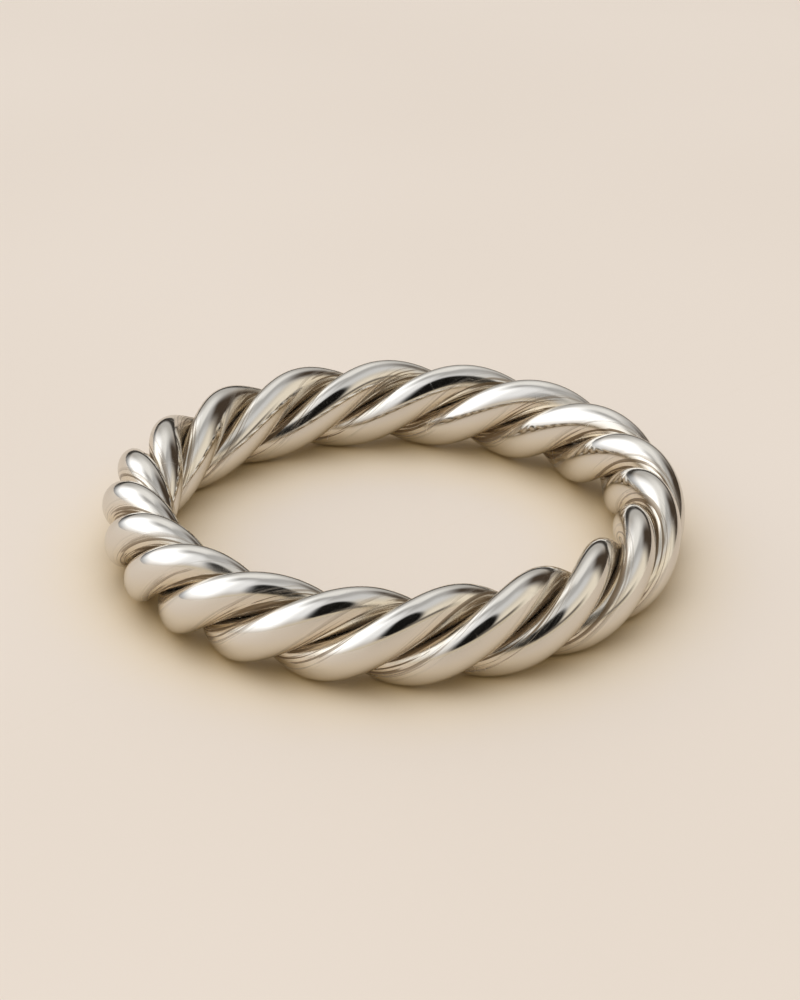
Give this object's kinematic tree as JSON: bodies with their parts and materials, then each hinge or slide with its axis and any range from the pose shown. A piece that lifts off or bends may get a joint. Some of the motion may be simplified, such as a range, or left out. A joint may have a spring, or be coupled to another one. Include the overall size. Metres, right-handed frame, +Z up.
{
  "type": "rope twist ring",
  "caption": "Polished silver finger ring of three wires twisted together like rope, pressed a little flat and joined end to end, lying on its side.",
  "frame": {"origin": "on the axis of the finger hole, in the plane that the ring rests on", "axes": "+Z up along the finger hole's axis; -Y is the side that faces the camera; +X is the side where the wires' ends meet"},
  "size_m": [0.0231, 0.0229, 0.004],
  "materials": {
    "polished_silver": "bright polished silver with hairline scratches and a little tarnish down in the grooves"
  },
  "bodies": {
    "root": {"strand_1": "polished_silver", "strand_2": "polished_silver", "strand_3": "polished_silver"}
  },
  "joints": []
}
